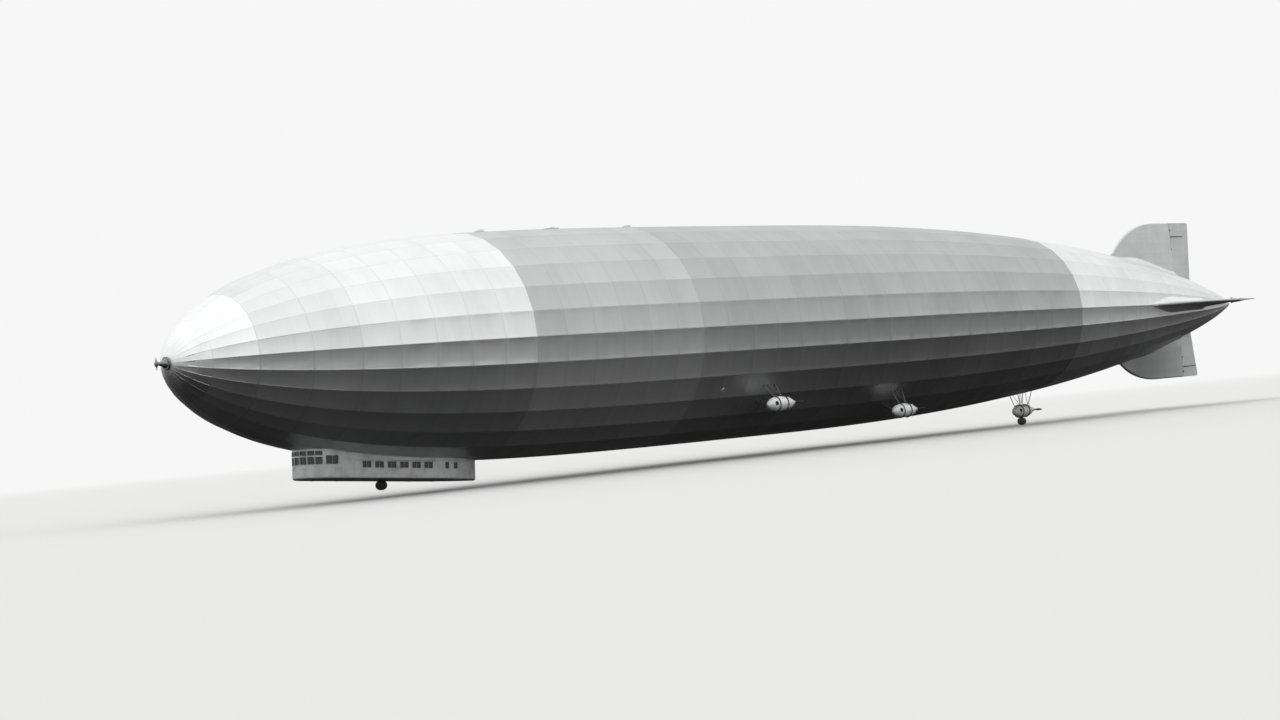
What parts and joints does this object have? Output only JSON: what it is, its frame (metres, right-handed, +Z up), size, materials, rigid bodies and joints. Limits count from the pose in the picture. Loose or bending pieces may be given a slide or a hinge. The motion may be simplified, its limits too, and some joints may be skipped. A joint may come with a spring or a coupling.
{
  "type": "rigid airship, 1:10 scale model",
  "caption": "Rigid airship as a 1:10 scale model: long faceted hull, cross tail with rudders and elevators, gondola under the bow and engine cars with pusher propellers.",
  "frame": {"origin": "centre of lift, on the hull's axis", "axes": "+X along the hull's axis to the nose, +Y to port, +Z up"},
  "size_m": [23.81, 3.152, 3.3228],
  "materials": {
    "hull_fabric": "doped silver-grey fabric, slightly glossy",
    "tail_fabric": "doped silver-grey fabric, slightly glossy",
    "bow_metal": "dull sheet metal",
    "fitting_metal": "satin grey",
    "car_metal": "polished sheet metal, dulled",
    "engine_metal": "oily dark grey",
    "propeller_wood": "dark stain, dulled varnish",
    "cabin_paint": "satin silver-grey",
    "cabin_lining": "matt cloth on panels",
    "window_glass": "clear",
    "bumper_rubber": "matt"
  },
  "bodies": {
    "ship": {"hull_bow_front": "hull_fabric", "hull_bow_middle": "hull_fabric", "hull_bow_rear": "hull_fabric", "hull_fore_body": "hull_fabric", "hull_mid_body": "hull_fabric", "hull_aft_body": "hull_fabric", "hull_stern_front": "hull_fabric", "hull_stern_middle": "hull_fabric", "hull_stern_rear": "hull_fabric", "nose_cap": "bow_metal", "mooring_spindle": "fitting_metal", "tail_cone": "hull_fabric", "fin_top": "tail_fabric", "fin_port": "tail_fabric", "fin_bottom": "tail_fabric", "fin_starboard": "tail_fabric", "car_fore_port_shell": "car_metal", "car_fore_port_engine": "engine_metal", "car_fore_port_struts": "fitting_metal", "car_fore_starboard_shell": "car_metal", "car_fore_starboard_engine": "engine_metal", "car_fore_starboard_struts": "fitting_metal", "car_middle_port_shell": "car_metal", "car_middle_port_engine": "engine_metal", "car_middle_port_struts": "fitting_metal", "car_middle_starboard_shell": "car_metal", "car_middle_starboard_engine": "engine_metal", "car_middle_starboard_struts": "fitting_metal", "car_aft_shell": "car_metal", "car_aft_engine": "engine_metal", "car_aft_struts": "fitting_metal", "gondola_floor": "cabin_paint", "control_room_wall": "cabin_paint", "gondola_wall_port": "cabin_paint", "gondola_wall_starboard": "cabin_paint", "gondola_stern_wall": "cabin_paint", "gondola_roof": "cabin_lining", "bulkhead_control_room": "cabin_lining", "bulkhead_passenger_aft": "cabin_lining", "control_room_glass": "window_glass", "gondola_glass_port": "window_glass", "gondola_glass_starboard": "window_glass", "handrail_port": "fitting_metal", "handrail_starboard": "fitting_metal", "bumper_front": "bumper_rubber", "bumper_aft": "bumper_rubber"},
    "rudder_top": {"rudder_top": "tail_fabric"},
    "rudder_bottom": {"rudder_bottom": "tail_fabric"},
    "elevator_port": {"elevator_port": "tail_fabric"},
    "elevator_starboard": {"elevator_starboard": "tail_fabric"},
    "gondola_door": {"gondola_door": "cabin_paint"},
    "car_fore_port_propeller": {"car_fore_port_propeller": "propeller_wood"},
    "car_fore_starboard_propeller": {"car_fore_starboard_propeller": "propeller_wood"},
    "car_middle_port_propeller": {"car_middle_port_propeller": "propeller_wood"},
    "car_middle_starboard_propeller": {"car_middle_starboard_propeller": "propeller_wood"},
    "car_aft_propeller": {"car_aft_propeller": "propeller_wood"}
  },
  "joints": [
    {"name": "rudder_top_turn", "type": "hinge", "parent": "ship", "child": "rudder_top", "pos_m": [-10.99, 0, 1.065], "axis": [0, 0, 1], "range_deg": [-20, 20]},
    {"name": "rudder_bottom_turn", "type": "hinge", "parent": "ship", "child": "rudder_bottom", "pos_m": [-10.99, 0, -0.94], "axis": [0, 0, 1], "range_deg": [-20, 20]},
    {"name": "elevator_port_turn", "type": "hinge", "parent": "ship", "child": "elevator_port", "pos_m": [-10.99, 0.96, 0], "axis": [0, 1, 0], "range_deg": [-20, 20]},
    {"name": "elevator_starboard_turn", "type": "hinge", "parent": "ship", "child": "elevator_starboard", "pos_m": [-10.99, -0.96, 0], "axis": [0, 1, 0], "range_deg": [-20, 20]},
    {"name": "car_fore_port_propeller_spin", "type": "hinge", "parent": "ship", "child": "car_fore_port_propeller", "pos_m": [1.481, 1.406, -1.1], "axis": [1, 0, 0], "continuous": true},
    {"name": "car_fore_starboard_propeller_spin", "type": "hinge", "parent": "ship", "child": "car_fore_starboard_propeller", "pos_m": [1.481, -1.406, -1.1], "axis": [1, 0, 0], "continuous": true},
    {"name": "car_middle_port_propeller_spin", "type": "hinge", "parent": "ship", "child": "car_middle_port_propeller", "pos_m": [-1.594, 1.144, -1.36], "axis": [1, 0, 0], "continuous": true},
    {"name": "car_middle_starboard_propeller_spin", "type": "hinge", "parent": "ship", "child": "car_middle_starboard_propeller", "pos_m": [-1.594, -1.144, -1.36], "axis": [1, 0, 0], "continuous": true},
    {"name": "car_aft_propeller_spin", "type": "hinge", "parent": "ship", "child": "car_aft_propeller", "pos_m": [-6.234, 0, -1.57], "axis": [1, 0, 0], "continuous": true},
    {"name": "gondola_door_turn", "type": "hinge", "parent": "ship", "child": "gondola_door", "pos_m": [8.5809, -0.307, -1.4004], "axis": [-0.0854, 0, 0.9963], "range_deg": [0, 100]}
  ],
  "couplings": [
    {"joint": "rudder_bottom_turn", "follows": "rudder_top_turn", "ratio": 1},
    {"joint": "elevator_starboard_turn", "follows": "elevator_port_turn", "ratio": 1}
  ]
}
